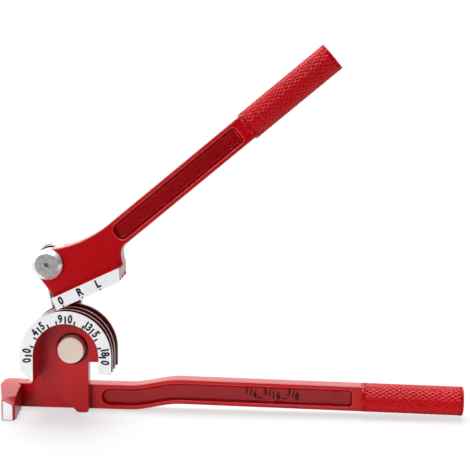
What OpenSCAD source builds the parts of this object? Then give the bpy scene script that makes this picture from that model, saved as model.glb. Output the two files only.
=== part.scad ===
// Three-groove lever tube bender, about 312 mm long. Millimetres.
// Frame: +X along the lower handle, +Y away from the viewer, +Z up, Z = 0 is the surface it stands on.
// The origin is the middle of the leg's foot, on which the bender stands.
// Inside the modules X = 0 is the wheel's axis and Y = 0 is the dial's face; place() moves both to the foot.

/* [Tubes] */
// smallest tube that the bender takes, outer diameter (mm)
tube_a = 6.35; // [4:0.05:8]
// middle tube, outer diameter (mm)
tube_b = 7.94; // [6:0.01:10]
// largest tube, outer diameter (mm)
tube_c = 9.53; // [8:0.01:12]
// clearance of a groove over its tube, on the radius (mm)
tube_clear = 0.1; // [0.05:0.05:0.3]
// thickness of the ridges between the grooves (mm)
ridge_t = 1.2; // [0.8:0.1:2]
// thickness of the front rim, beside the smallest groove (mm)
front_rim_t = 1; // [0.8:0.1:2]
// thickness of the rear rim, beside the largest groove (mm)
rear_rim_t = 2.8; // [2:0.1:4]

/* [Forming wheel] */
// radius of the wheel's rims, which is also the bend radius on the tube's centreline (mm)
wheel_r = 30; // [28:0.5:34]
// inner radius of the dial's ring (mm)
dial_in = 21.6; // [20:0.2:23]
// height of the wheel's axis above the surface (mm)
axis_z = 44; // [42:0.5:50]
// straight run of the left rim below the axis, to where its cut starts (mm)
tail_left = 9.8; // [6:0.2:12]
// straight run of the right rim below the axis (mm)
tail_right = 11.4; // [9.6:0.2:14]
// height of the wheel's right notch below the axis (mm)
notch_drop = 9.2; // [7:0.2:9.4]
// thickness of the web and leg (mm)
web_t = 8.5; // [7:0.5:10]
// right edge of the leg (mm)
leg_right = 10.8; // [8:0.2:14]
// left edge of the leg, as a distance from the axis (mm)
leg_left = 20.3; // [19:0.1:21]
// width of the leg's foot (mm)
foot_w = 7.4; // [6.5:0.1:10]
// radius of the foot's right corner (mm)
foot_corner = 2; // [1:0.5:3]
// thickness of the white dial plate (mm)
dial_t = 0.6; // [0.4:0.1:0.8]
// depth that the dial plate and the index plate are let into their castings (mm)
dial_seat = 0.4; // [0.2:0.1:0.6]

/* [Lower handle] */
// gap between the wheel's rear rim and the bar, for the shoe to pass (mm)
rear_gap = 2.4; // [1.5:0.1:4]
// height of the bar's lower edge above the surface (mm)
bar_clear = 0.5; // [0:0.1:1]
// thickness of the bar (mm)
bar_t = 12.5; // [11:0.5:14]
// height of the bar (mm)
bar_h = 17; // [14:0.2:18]
// height that the bar steps up between the wheel and the grip (mm)
bar_step = 4.8; // [0:0.2:7]
// place along X where the grip starts (mm)
grip_x = 194.5; // [170:0.5:220]
// fall of the bar towards the grip (degrees)
bar_fall = 0.75; // [0:0.05:1]
// depth of the pockets in the bars (mm)
pocket_d = 3.6; // [2:0.2:5]
// width of the pockets' lips (mm)
pocket_lip = 3; // [2:0.2:4]
// distance between the pockets' square ends and the grips (mm)
pocket_stop = 6; // [4:0.5:12]
// distance between the leg and the lower pocket's round end, to its middle (mm)
pocket_start = 13; // [11:0.5:16]
// distance between the lever's head and the upper pocket's round end, to its middle (mm)
upper_pocket_start = 6.7; // [6:0.1:10]

/* [Grips] */
// diameter of the knurled grips (mm)
grip_d = 19.6; // [17:0.2:21]
// length of the lower grip (mm)
grip_l = 68; // [55:1:80]
// length of the upper grip (mm)
upper_grip_l = 72; // [55:1:84]
// diameter of the tangs inside the grips (mm)
tang_d = 12; // [9:0.5:13]
// length of the solid end of the grips, past the tangs (mm)
grip_solid = 16; // [10:1:30]
// gap between the ends of the bars and the grips' mouths (mm)
grip_gap = 0.2; // [0.2:0.1:0.6]

/* [Hook] */
// gap between the hook's steps and the tubes (mm)
hook_gap = 0.8; // [0.4:0.1:1.5]
// thickness of the hook's finger at its front (mm)
hook_t = 7; // [5:0.5:9]
// height of the finger's top above the surface, at its root (mm)
hook_h = 17.4; // [14:0.2:18]
// height of the finger's front face, at its outer edge (mm)
hook_front_h = 13; // [11:0.2:14]
// fall of the finger's top towards its front (degrees)
hook_fall = 4.2; // [0:0.1:5]
// lean of the finger's outer side from its front to its root (mm)
hook_lean = 7.8; // [4:0.2:10]

/* [Link and pins] */
// distance between the wheel's axis and the lever pin (mm)
link_l = 60.8; // [59:0.2:66]
// radius of the link's round ends (mm)
link_end_r = 11.7; // [10:0.1:12.5]
// width of the link between its ends (mm)
link_w = 20; // [14:0.5:22]
// thickness of the link (mm)
link_t = 8; // [6:0.5:10]
// diameter of both pins' shanks (mm)
pin_d = 10; // [8:0.5:12]
// diameter of the centre pin's head (mm)
centre_head_d = 17.8; // [14:0.2:19]
// height that the centre pin stands out of the web (mm)
centre_stand = 7; // [4:0.5:10]
// gap round the centre pin's head in its sunk seat (mm)
seat_gap = 1.5; // [0.5:0.1:2]
// depth of that seat (mm)
seat_depth = 2; // [1:0.2:3]
// diameter of the lever pin's head (mm)
lever_head_d = 19.8; // [16:0.2:22]
// height of the lever pin's head (mm)
lever_head_h = 4.4; // [3:0.2:5]
// thickness of the thrust washers (mm)
washer_t = 0.9; // [0.6:0.1:1.2]
// wall of the bronze bushes (mm)
bush_wall = 1.6; // [1:0.1:2]
// running clearance of the pins in the bushes, on the radius (mm)
run_clear = 0.05; // [0.02:0.01:0.09]
// clearance between pieces that are pressed or screwed together, on the radius (mm)
seat_clear = 0.02; // [0.01:0.01:0.05]
// end play between faces that turn on each other (mm)
end_play = 0.1; // [0.05:0.05:0.3]
// thickness of the retaining rings (mm)
ring_t = 1; // [0.8:0.1:1.4]

/* [Lever] */
// gap between the shoe and the wheel's rims when the shoe is on its tube (mm)
shoe_gap = 1.7; // [1.4:0.1:2]
// height of the shoe's white index plate (mm)
index_h = 8.3; // [6:0.1:10]
// length of the shoe (mm)
shoe_l = 49.2; // [46:0.2:52]
// length of the shoe to the left of its 0 mark (mm)
shoe_left = 6.2; // [4:0.1:7]
// depth of the lever's front face behind the dial's face (mm)
lever_y = 8; // [7.6:0.1:10]
// thickness of the lever (mm)
lever_t = 15; // [13:0.5:15.5]
// width of the lever's bar (mm)
lever_w = 17; // [15:0.2:19]
// angle between the lever's bar and the shoe (degrees)
lever_rise = 14.6; // [12:0.1:17]
// distance from the lever pin to the start of the upper grip, along the shoe (mm)
lever_reach = 154.5; // [130:0.5:170]
// height of the upper grip's start above the pin, square to the shoe (mm)
lever_lift = 26.1; // [22:0.1:30]

/* [Fasteners] */
// diameter of the screws (mm)
screw_d = 4; // [3:0.5:5]
// wall left in front of the screws' blind holes (mm)
screw_wall = 4; // [3:0.5:5]
// diameter of the screws' heads (mm)
screw_head_d = 7; // [6:0.5:8]
// height of the screws' heads (mm)
screw_head_h = 4; // [3:0.5:4]
// width of the screws' hexagon sockets, across corners (mm)
screw_hex = 3.5; // [2.5:0.1:4]
// diameter of the dowels (mm)
dowel_d = 3; // [2:0.5:3.5]
// length of the dowels on each side of the joint (mm)
dowel_half = 3.8; // [3:0.2:4.5]

/* [Pose] */
// direction of the link as photographed, from +X towards +Z (degrees)
link_angle = 102; // [90:0.5:110]
// slope of the shoe as photographed (degrees)
shoe_angle = 25.7; // [20:0.1:32]

/* [Hidden] */
$fn = 96;

eps = 0.01;
// depths, from the dial's face back
groove_a = front_rim_t + tube_a / 2 + tube_clear;
groove_b = groove_a + tube_a / 2 + ridge_t + tube_b / 2 + 2 * tube_clear;
groove_c = groove_b + tube_b / 2 + ridge_t + tube_c / 2 + 2 * tube_clear;
wheel_w = groove_c + tube_c / 2 + tube_clear + rear_rim_t;
bar_y = wheel_w + rear_gap;
bar_back = bar_y + bar_t;
web_y = bar_y - web_t;
link_y = bar_y + washer_t + end_play;
link_back = link_y + link_t;
ring_y = link_back + washer_t + 2 * end_play;
lever_back = lever_y + lever_t;
boss_back = link_y - washer_t - end_play;
front_washer_y = lever_y - end_play - washer_t;
// lower handle
tail_tip = wheel_r - dial_in;
bar_half = bar_h / 2;
bar_low = bar_clear + bar_half;
step_from = 37;
step_to = 72;
foot_left = leg_right - foot_w;
leg_corner = foot_left + leg_left;
foot_x = (foot_left + leg_right - foot_corner) / 2;
foot_y = web_y + web_t / 2;
hook_root = wheel_r + tube_c / 2 + hook_gap + 3.4;
hook_outer = -wheel_r - tube_a / 2 - hook_gap - hook_t;
arm_peak = leg_corner + 1.3;
arm_top = leg_left + 1.7;
screw_places = [[leg_right - 14.3, bar_low + 3.6], [leg_right - 5.3, bar_low - 3.4]];
dowel_places = [[leg_right - 5.3, bar_low + 4.6], [leg_right - 10.5, bar_low - 1.9]];
// grips, pins and link
grip_r = grip_d / 2;
tang_l = grip_l - grip_solid;
upper_tang_l = upper_grip_l - grip_solid;
grip_edge = 1.5;
pin_r = pin_d / 2;
bush_r = pin_r + bush_wall;
ring_r = pin_r + 2.2;
ring_in = pin_r - 0.9;
pin_end = ring_y + ring_t + 1.6;
pin_x = link_l * cos(link_angle);
pin_z = axis_z + link_l * sin(link_angle);
// lever, in its own frame: the lever pin at the origin, +X along the shoe
tube_line = link_l - wheel_r;
shoe_h = tube_line - shoe_gap;
shoe_top = shoe_h - index_h;
shoe_right = shoe_l - shoe_left;
head_right = shoe_right + 1.7;
nose_r = lever_head_d / 2 - 0.3;
lever_bar_l = (lever_reach - head_right - 3) / cos(lever_rise);
shoe_screw_places = [shoe_left + 5.8, shoe_right - 11];
shoe_screw_z = -shoe_top + 5.5;
back_plate_h = 11;
hollow_edge = 6 - shoe_left / 2;
shoe_slant = 3.6;

function bar_mid(x) = x <= step_from ? bar_low
    : x >= step_to ? bar_low + bar_step - (x - step_to) * tan(bar_fall)
    : bar_low + bar_step * (1 - cos(180 * (x - step_from) / (step_to - step_from))) / 2;
function lever_mid(u) = lever_lift - (lever_reach - u) * tan(lever_rise);
function bezier(a, b, c, t) = a * (1 - t) * (1 - t) + b * 2 * t * (1 - t) + c * t * t;

// a flat outline in X and Z, given depth from y0 to y1
module slab(y0, y1) {
    translate([0, y1, 0]) rotate([90, 0, 0]) linear_extrude(height = y1 - y0) children();
}

// a round bar along Y
module rod(r, y0, y1) {
    translate([0, y0, 0]) rotate([-90, 0, 0]) cylinder(r = r, h = y1 - y0);
}

module place() { translate([-foot_x, -foot_y, 0]) children(); }

module at_axis() { translate([0, 0, axis_z]) children(); }

// the lever's own frame: the lever pin at the origin, +X along the shoe
module at_lever() { translate([pin_x, 0, pin_z]) rotate([0, -shoe_angle, 0]) children(); }

module at_places(places) {
    for (spot = places) translate([spot[0], 0, spot[1]]) children();
}

module at_pin() { translate([pin_x, 0, pin_z]) children(); }

// section of the grooved rim: X is the radius, Y is the depth
module rim_section() {
    difference() {
        translate([dial_in, dial_seat]) square([tail_tip, wheel_w - dial_seat]);
        translate([wheel_r, groove_a]) circle(r = tube_a / 2 + tube_clear);
        translate([wheel_r, groove_b]) circle(r = tube_b / 2 + tube_clear);
        translate([wheel_r, groove_c]) circle(r = tube_c / 2 + tube_clear);
    }
}

// a straight run of the rim, from the axis down
module rim_run(drop) {
    translate([0, 0, -drop]) linear_extrude(height = drop) rim_section();
}

module leg_outline() {
    intersection() {
        circle(r = dial_in + 1);
        translate([-wheel_r, -notch_drop]) square(2 * wheel_r);
    }
    difference() {
        polygon([[-leg_left, 1], [-leg_left, leg_corner - axis_z], [foot_left, -axis_z],
            [leg_right, -axis_z], [leg_right, 1]]);
        translate([leg_right - foot_corner, -axis_z]) difference() {
            translate([0, -eps]) square(foot_corner + eps);
            translate([0, foot_corner]) circle(r = foot_corner, $fn = 48);
        }
    }
    translate([-dial_in - 1, -tail_left - tail_tip + 2])
        square([dial_in + 2 - leg_left, tail_left + tail_tip - 1]);
}

module forming_wheel() {
    color([0.66, 0.05, 0.08]) at_axis() difference() {
        union() {
            rotate([-90, 0, 0]) rotate([0, 0, 180]) rotate_extrude(angle = 180) rim_section();
            rim_run(tail_right);
            difference() {
                mirror([1, 0, 0]) rim_run(tail_left + tail_tip);
                translate([-wheel_r, -1, -tail_left]) rotate([0, 45, 0])
                    translate([-wheel_r, 0, -2 * wheel_r]) cube([3 * wheel_r, wheel_w + 2, 2 * wheel_r]);
            }
            slab(web_y, bar_y) leg_outline();
        }
        rod(centre_head_d / 2 + seat_gap, web_y - 1, web_y + seat_depth);
        rod(pin_r + seat_clear, web_y, bar_y + 1);
        translate([0, 0, -axis_z]) {
            at_places(screw_places) rod(screw_d / 2 + seat_clear, web_y + 2.5, bar_y + 1);
            at_places(dowel_places) rod(dowel_d / 2 + seat_clear, bar_y - dowel_half - 0.2, bar_y + 1);
        }
    }
}

module dial_outline() {
    difference() {
        circle(r = wheel_r);
        circle(r = dial_in);
        translate([-2 * wheel_r, -2 * wheel_r]) square([4 * wheel_r, 2 * wheel_r]);
    }
    polygon([[-wheel_r, 0], [-wheel_r, -tail_left], [-dial_in, -tail_left - tail_tip], [-dial_in, 0]]);
    translate([dial_in, -tail_right]) square([tail_tip, tail_right]);
}

module dial_plate() {
    color([0.93, 0.93, 0.92]) at_axis() slab(dial_seat - dial_t, dial_seat) dial_outline();
}

module bar_outline(from, to, half, steps) {
    polygon(concat(
        [for (i = [0 : steps]) let (x = from + (to - from) * i / steps) [x, bar_mid(x) - half]],
        [for (i = [steps : -1 : 0]) let (x = from + (to - from) * i / steps) [x, bar_mid(x) + half]]));
}

// the finger in plan, stepped so that each tube stands in its own gap
module finger_plan() {
    inner_a = -wheel_r - tube_a / 2 - hook_gap;
    inner_b = -wheel_r - tube_b / 2 - hook_gap;
    inner_c = -wheel_r - tube_c / 2 - hook_gap;
    end_a = groove_a + tube_a / 2 + ridge_t / 2;
    end_b = groove_b + tube_b / 2 + ridge_t / 2;
    polygon([[inner_a - 1.2, 0], [inner_a, 1.2], [inner_a, end_a], [inner_b, end_a + 0.8], [inner_b, end_b],
        [inner_c, end_b + 0.8], [inner_c, wheel_w - 3], [-hook_root, bar_y], [-hook_root, bar_back - 0.6],
        [hook_outer - hook_lean + 1.5, bar_back - 0.6], [hook_outer - hook_lean - 1.2, bar_back - 4],
        [hook_outer - hook_lean - 1.2, bar_y - 4], [hook_outer - 1.2, 0]]);
}

module hook() {
    difference() {
        linear_extrude(height = hook_h) finger_plan();
        translate([-2 * wheel_r, bar_y, hook_h]) rotate([hook_fall, 0, 0]) translate([0, -2 * bar_y, 0])
            cube([2 * wheel_r, 2 * bar_y, hook_h]);
        translate([hook_outer - 1.2, 0, hook_front_h]) rotate([40, 0, 0]) rotate([0, 20, 0])
            translate([-wheel_r, -wheel_r, 0]) cube([2 * wheel_r, 2 * wheel_r, hook_h]);
    }
}

module lower_handle() {
    bar_end = grip_x - 1;
    color([0.68, 0.05, 0.08]) difference() {
        union() {
            slab(bar_y, bar_back) {
                bar_outline(-12, bar_end, bar_half, 120);
                polygon([[-hook_root - 3, bar_clear], [0, bar_clear], [0, bar_low + bar_half],
                    [-leg_left, arm_peak], [-arm_top, arm_peak], [-arm_top - arm_peak + hook_h, hook_h],
                    [-hook_root - 3, hook_h]]);
            }
            hook();
            translate([bar_end + grip_gap, bar_y + bar_t / 2, bar_mid(grip_x)])
                rotate([0, 90 + bar_fall, 0]) translate([0, 0, -2]) cylinder(d = tang_d, h = tang_l + 2);
        }
        for (face = [bar_y - 1, bar_back - pocket_d]) slab(face, face + pocket_d + 1) {
            bar_outline(leg_right + pocket_start, bar_end - pocket_stop, bar_half - pocket_lip, 100);
            translate([leg_right + pocket_start, bar_mid(0)]) circle(r = bar_half - pocket_lip, $fn = 48);
        }
        at_places(screw_places) {
            rod(screw_d / 2 + seat_clear, bar_y - 1, bar_back + 1);
            rod(screw_head_d / 2 + 0.3, bar_back - screw_head_h - 0.4, bar_back + 1);
        }
        at_places(dowel_places) rod(dowel_d / 2 + seat_clear, bar_y - 1, bar_y + dowel_half + 0.2);
    }
}

// a grip sleeve along +Z from its mouth, with a blind bore for the tang
module grip_sleeve(length) {
    difference() {
        union() {
            cylinder(r = grip_r, h = length - grip_edge);
            translate([0, 0, length - grip_edge - eps])
                cylinder(r1 = grip_r, r2 = grip_r - grip_edge, h = grip_edge + eps);
        }
        translate([0, 0, -1]) cylinder(d = tang_d + 2 * seat_clear, h = length - grip_solid + 1 + grip_gap);
    }
}

module lower_grip() {
    color([0.62, 0.05, 0.08]) translate([grip_x - 1 + grip_gap, bar_y + bar_t / 2, bar_mid(grip_x)])
        rotate([0, 90 + bar_fall, 0]) grip_sleeve(grip_l);
}

// a socket screw along +Y: the tip at y0, the head's seat at y1
module socket_screw(y0, y1) {
    difference() {
        union() {
            rod(screw_d / 2, y0, y1 + eps);
            rod(screw_head_d / 2, y1, y1 + screw_head_h);
        }
        translate([0, y1 + screw_head_h / 2, 0]) rotate([-90, 0, 0])
            cylinder(r = screw_hex / 2, h = screw_head_h, $fn = 6);
    }
}

module wheel_screws() {
    color([0.3, 0.3, 0.32]) at_places(screw_places) socket_screw(web_y + 3, bar_back - screw_head_h - 0.4);
}

module wheel_dowels() {
    color([0.7, 0.7, 0.72]) at_places(dowel_places) rod(dowel_d / 2, bar_y - dowel_half, bar_y + dowel_half);
}

// a shank from y0 to the pin's end, with the groove for its retaining ring
module shank(y0) {
    difference() {
        rod(pin_r, y0, pin_end);
        difference() {
            rod(pin_r + 1, ring_y - end_play / 2, ring_y + ring_t + end_play / 2);
            rod(ring_in - seat_clear, ring_y - 1, ring_y + ring_t + 1);
        }
    }
}

module pin_head(d, y0, y1, chamfer) {
    translate([0, y0, 0]) rotate([-90, 0, 0]) cylinder(r1 = d / 2 - chamfer, r2 = d / 2, h = chamfer);
    rod(d / 2, y0 + chamfer - eps, y1);
}

module centre_pin() {
    color([0.78, 0.77, 0.74]) at_axis() {
        pin_head(centre_head_d, web_y - centre_stand, web_y + seat_depth, 1.2);
        shank(web_y + seat_depth - eps);
    }
}

module lever_pin() {
    color([0.75, 0.75, 0.74]) at_pin() {
        pin_head(lever_head_d, front_washer_y - lever_head_h, front_washer_y, 2.4);
        shank(front_washer_y - eps);
    }
}

module washer(r_out, r_in, y0, t) {
    difference() {
        rod(r_out, y0, y0 + t);
        rod(r_in, y0 - 1, y0 + t + 1);
    }
}

module retaining_ring(y0) {
    slab(y0, y0 + ring_t) difference() {
        circle(r = ring_r);
        circle(r = ring_in);
        translate([-1.2, 0]) square([2.4, 2 * ring_r]);
    }
}

module pivot_washer() {
    color([0.75, 0.6, 0.35]) at_axis() washer(link_end_r - 0.7, pin_r + run_clear, bar_y, washer_t);
}

module pivot_rear_washer() {
    color([0.72, 0.72, 0.74]) at_axis()
        washer(ring_r + 1.3, pin_r + run_clear, link_back + end_play, washer_t);
}

module pivot_ring() {
    color([0.25, 0.25, 0.27]) at_axis() retaining_ring(ring_y);
}

module link() {
    color([0.8, 0.8, 0.82]) difference() {
        slab(link_y, link_back) {
            translate([0, axis_z]) circle(r = link_end_r);
            translate([pin_x, pin_z]) circle(r = link_end_r);
            translate([0, axis_z]) rotate(link_angle) translate([0, -link_w / 2]) square([link_l, link_w]);
        }
        at_axis() rod(bush_r + seat_clear, link_y - 1, link_back + 1);
        at_pin() rod(pin_r + seat_clear, link_y - 1, link_back + 1);
    }
}

module pivot_bush() {
    color([0.72, 0.55, 0.3]) at_axis() difference() {
        rod(bush_r, link_y, link_back);
        rod(pin_r + run_clear, link_y - 1, link_back + 1);
    }
}

module lever_front_washer() {
    color([0.72, 0.72, 0.74]) at_pin()
        washer(lever_head_d / 2 - 1, pin_r + seat_clear, front_washer_y, washer_t);
}

module lever_rear_washer() {
    color([0.75, 0.6, 0.35]) at_pin()
        washer(link_end_r - 1.5, pin_r + seat_clear, link_y - washer_t, washer_t);
}

module lever_ring() {
    color([0.25, 0.25, 0.27]) at_pin() retaining_ring(ring_y);
}

// the lever's head, in the lever's own frame
module head_outline() {
    nose = [nose_r * sin(20), nose_r * cos(20)];
    sag = [head_right / 2.2, nose_r / 5];
    top = [head_right - 1.5, lever_mid(head_right - 1.5) + lever_w / 2];
    chin_r = 0.4 * shoe_top;
    chin = [head_right + chin_r, lever_mid(head_right + chin_r) - lever_w / 2];
    circle(r = nose_r);
    polygon(concat(
        [for (i = [0 : 12]) bezier(nose, sag, top, i / 12)],
        [[head_right + 2 * chin_r, lever_mid(head_right + 2 * chin_r)]],
        [for (a = [0 : 10 : 90]) [chin[0] - chin_r * sin(a), chin[1] - (chin[1] + shoe_top) * (1 - cos(a))]],
        [[-shoe_left, -shoe_top], [-nose_r, -nose_r / 2]]));
}

// the bar from its grip end back, as a strip of the given half width
module lever_bar_outline(inset, length, half) {
    translate([lever_reach, lever_mid(lever_reach)]) rotate(lever_rise) translate([-length, -half])
        square([length - inset, 2 * half]);
}

module at_shoe_screws() {
    for (u = shoe_screw_places) translate([u, 0, shoe_screw_z]) children();
}

module lever_handle() {
    half = lever_w / 2;
    color([0.7, 0.03, 0.06]) at_lever() difference() {
        union() {
            slab(lever_y, lever_back) {
                head_outline();
                lever_bar_outline(0, lever_bar_l, half);
            }
            rod(link_end_r - 1.5, lever_y, boss_back);
            translate([lever_reach, lever_y + lever_t / 2, lever_mid(lever_reach)])
                rotate([0, 90 - lever_rise, 0]) translate([0, 0, -3])
                cylinder(d = tang_d, h = upper_tang_l + 3);
        }
        rod(bush_r + seat_clear, lever_y - 1, boss_back + 1);
        for (face = [lever_y - 1, lever_back - pocket_d]) slab(face, face + pocket_d + 1) {
            lever_bar_outline(pocket_stop, lever_bar_l - upper_pocket_start, half - pocket_lip);
            translate([lever_reach, lever_mid(lever_reach)]) rotate(lever_rise)
                translate([upper_pocket_start - lever_bar_l, 0]) circle(r = half - pocket_lip, $fn = 48);
        }
        at_shoe_screws() rod(screw_d / 2 + seat_clear, lever_y + screw_wall, lever_back + 1);
    }
}

module lever_bush() {
    color([0.72, 0.55, 0.3]) at_lever() difference() {
        rod(bush_r, lever_y, boss_back);
        rod(pin_r + run_clear, lever_y - 1, boss_back + 1);
    }
}

// section of the shoe: X is the depth, Y is the height in the lever's frame
module shoe_section() {
    back_from = lever_back + seat_clear;
    under = -shoe_top - seat_clear;
    front_to = lever_y - seat_clear;
    difference() {
        polygon([[dial_seat, -shoe_h], [wheel_w, -shoe_h], [wheel_w, back_plate_h - shoe_top],
            [back_from, back_plate_h - shoe_top], [back_from, under], [front_to, under],
            [front_to, 1.6 - shoe_top], [dial_seat, -shoe_top]]);
        translate([groove_a, -tube_line]) circle(r = tube_a / 2 + tube_clear);
        translate([groove_b, -tube_line]) circle(r = tube_b / 2 + tube_clear);
        translate([groove_c, -tube_line]) circle(r = tube_c / 2 + tube_clear);
    }
}

// what the slanted right end of the shoe takes away
module shoe_end() {
    translate([shoe_right - shoe_slant, -1, -shoe_h]) rotate([0, 24, 0]) translate([0, 0, -shoe_h])
        cube([shoe_h, wheel_w + 2, 2 * shoe_h]);
}

module forming_shoe() {
    color([0.7, 0.03, 0.06]) at_lever() difference() {
        translate([-shoe_left, 0, 0]) rotate([90, 0, 90]) linear_extrude(height = shoe_l) shoe_section();
        shoe_end();
        translate([hollow_edge - shoe_l, lever_back - 1, 0.5 - shoe_top])
            cube([shoe_l, wheel_w, back_plate_h]);
        at_shoe_screws() {
            rod(screw_d / 2 + seat_clear, lever_back - 1, wheel_w + 1);
            rod(screw_head_d / 2 + 0.2, wheel_w - screw_head_h, wheel_w + 1);
        }
    }
}

module index_plate() {
    color([0.93, 0.93, 0.92]) at_lever() difference() {
        slab(dial_seat - dial_t, dial_seat - seat_clear) translate([-shoe_left, -shoe_h])
            square([shoe_l, index_h]);
        shoe_end();
    }
}

module shoe_screws() {
    color([0.3, 0.3, 0.32]) at_lever() at_shoe_screws()
        socket_screw(lever_y + screw_wall + 1, wheel_w - screw_head_h);
}

module upper_grip() {
    color([0.68, 0.03, 0.06]) at_lever()
        translate([lever_reach, lever_y + lever_t / 2, lever_mid(lever_reach)])
        rotate([0, 90 - lever_rise, 0]) translate([0, 0, grip_gap]) grip_sleeve(upper_grip_l);
}

place() lower_handle();
place() forming_wheel();
place() dial_plate();
place() lower_grip();
place() wheel_screws();
place() wheel_dowels();
place() centre_pin();
place() pivot_washer();
place() pivot_rear_washer();
place() pivot_ring();
place() link();
place() pivot_bush();
place() lever_pin();
place() lever_front_washer();
place() lever_rear_washer();
place() lever_ring();
place() lever_handle();
place() lever_bush();
place() forming_shoe();
place() index_plate();
place() shoe_screws();
place() upper_grip();
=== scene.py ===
# Red lever tube bender for three tube sizes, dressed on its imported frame.
# Pieces are modelled in millimetres from the wheel's axis (X, Z) and the dial's face (Y),
# then settled into the frame.
from math import atan2, cos, pi, radians, sin, tan
import bpy
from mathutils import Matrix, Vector


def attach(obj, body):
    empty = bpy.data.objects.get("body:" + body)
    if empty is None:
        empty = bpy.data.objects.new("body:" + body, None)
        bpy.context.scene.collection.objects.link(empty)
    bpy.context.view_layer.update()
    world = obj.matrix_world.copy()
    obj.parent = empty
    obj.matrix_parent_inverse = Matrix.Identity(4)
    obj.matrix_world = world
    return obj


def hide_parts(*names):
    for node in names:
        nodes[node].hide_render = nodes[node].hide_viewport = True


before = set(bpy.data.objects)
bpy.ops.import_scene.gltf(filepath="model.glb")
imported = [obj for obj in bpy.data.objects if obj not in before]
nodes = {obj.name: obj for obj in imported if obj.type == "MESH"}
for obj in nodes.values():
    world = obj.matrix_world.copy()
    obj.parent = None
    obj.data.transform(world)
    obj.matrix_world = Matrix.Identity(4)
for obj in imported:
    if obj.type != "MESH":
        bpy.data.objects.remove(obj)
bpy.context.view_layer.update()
print("frame loaded:", len(nodes), "nodes")

layout = {
    "shift": (-6.1, -28.77, 0.0),    # from the wheel's axis to the middle of the leg's foot
    "axisZ": 44.0,
    "pin": (-12.641, 103.471),       # lever pin, X and Z
    "shoeTurn": 25.7,                # slope of the shoe, degrees
    "grooves": ((4.275, 3.275), (12.82, 4.07), (22.955, 4.865)),  # depth and radius of each groove
    "grooveSteps": 14,
    "castFront": 0.4,                # front of the wheel and the shoe, under their plates
    "wheelBack": 30.62,              # back of the wheel and the shoe
    "plateFront": -0.2,              # printed faces, just proud of the castings
    "plateEdge": 0.12,
    "inkHeight": 0.04,
    "letterSteps": 3,                # steps in a letter's curve
    "bushSeat": 6.62,                # radius, in the lever's boss and in the link
    "touch": 0.01,                   # nearer than this counts as touching
    "weld": 0.0005,                  # nearer than this is one point
}


# helpers

def hexColour(code):
    parts = [int(code[i:i + 2], 16) / 255 for i in (1, 3, 5)]
    return tuple(p / 12.92 if p <= 0.04045 else ((p + 0.055) / 1.055) ** 2.4 for p in parts) + (1.0,)


def addNode(tree, kind, links=None, **settings):
    made = tree.nodes.new(kind)
    for key, value in settings.items():
        setattr(made, key, value)
    for key, value in (links or {}).items():
        if isinstance(value, bpy.types.NodeSocket):
            tree.links.new(value, made.inputs[key])
        else:
            made.inputs[key].default_value = value
    return made


def only(piece):
    bpy.ops.object.select_all(action="DESELECT")
    piece.select_set(True)
    bpy.context.view_layer.objects.active = piece


def editAll(piece):
    only(piece)
    bpy.ops.object.mode_set(mode="EDIT")
    bpy.ops.mesh.select_all(action="SELECT")


def clearPick(piece, kind):
    # nothing selected, ready for a choice of faces or edges
    only(piece)
    bpy.ops.object.mode_set(mode="EDIT")
    bpy.ops.mesh.select_mode(type=kind)
    bpy.ops.mesh.select_all(action="DESELECT")
    bpy.ops.object.mode_set(mode="OBJECT")


def pickFaces(piece, test):
    clearPick(piece, "FACE")
    for face in piece.data.polygons:
        face.select = test(face.center, face.normal)
    bpy.ops.object.mode_set(mode="EDIT")


def pickEdges(piece, test):
    clearPick(piece, "EDGE")
    points = piece.data.vertices
    for edge in piece.data.edges:
        edge.select = test(points[edge.vertices[0]].co, points[edge.vertices[1]].co)
    bpy.ops.object.mode_set(mode="EDIT")


def doneEditing():
    bpy.ops.mesh.select_all(action="SELECT")
    bpy.ops.mesh.normals_make_consistent(inside=False)
    bpy.ops.object.mode_set(mode="OBJECT")


def ringOf(name, points):
    # a loop of points, started as a circle
    bpy.ops.object.select_all(action="DESELECT")
    bpy.ops.mesh.primitive_circle_add(vertices=len(points), radius=1, fill_type="NGON")
    piece = bpy.context.object
    piece.name = name
    for vertex, point in zip(piece.data.vertices, points):
        vertex.co = point
    return piece


def slab(name, outline, yFront, yBack):
    # a flat outline in X and Z with depth along Y
    piece = ringOf(name, [(x, yFront, z) for x, z in outline])
    editAll(piece)
    bpy.ops.mesh.extrude_region_move(TRANSFORM_OT_translate={"value": (0, yBack - yFront, 0)})
    doneEditing()
    return piece


def rod(name, radius, yFront, yBack, at=(0, 0), sides=96):
    middle = (at[0], (yFront + yBack) / 2, at[1])
    bpy.ops.object.select_all(action="DESELECT")
    bpy.ops.mesh.primitive_cylinder_add(vertices=sides, radius=radius, depth=yBack - yFront,
                                        location=middle, rotation=(radians(90), 0, 0))
    piece = bpy.context.object
    piece.name = name
    bpy.ops.object.transform_apply(location=True, rotation=True, scale=True)
    return piece


def setPlace(piece, turn=(0, 0, 0), place=(0, 0, 0)):
    # turns a piece, in degrees, and moves it, with its object left at the origin
    only(piece)
    piece.rotation_euler = [radians(a) for a in turn]
    piece.location = place
    bpy.ops.object.transform_apply(location=True, rotation=True, scale=True)


def carve(piece, tool, how="DIFFERENCE", crossing=False):
    only(piece)
    modifier = piece.modifiers.new("carve", "BOOLEAN")
    modifier.operation = how
    modifier.object = tool
    modifier.solver = "EXACT"
    modifier.use_self = crossing  # where the tool's own parts cross each other
    bpy.ops.object.modifier_apply(modifier="carve")
    bpy.data.objects.remove(tool)


def joinTo(piece, others):
    bpy.ops.object.select_all(action="DESELECT")
    for other in others:
        other.select_set(True)
    piece.select_set(True)
    bpy.context.view_layer.objects.active = piece
    bpy.ops.object.join()


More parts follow.
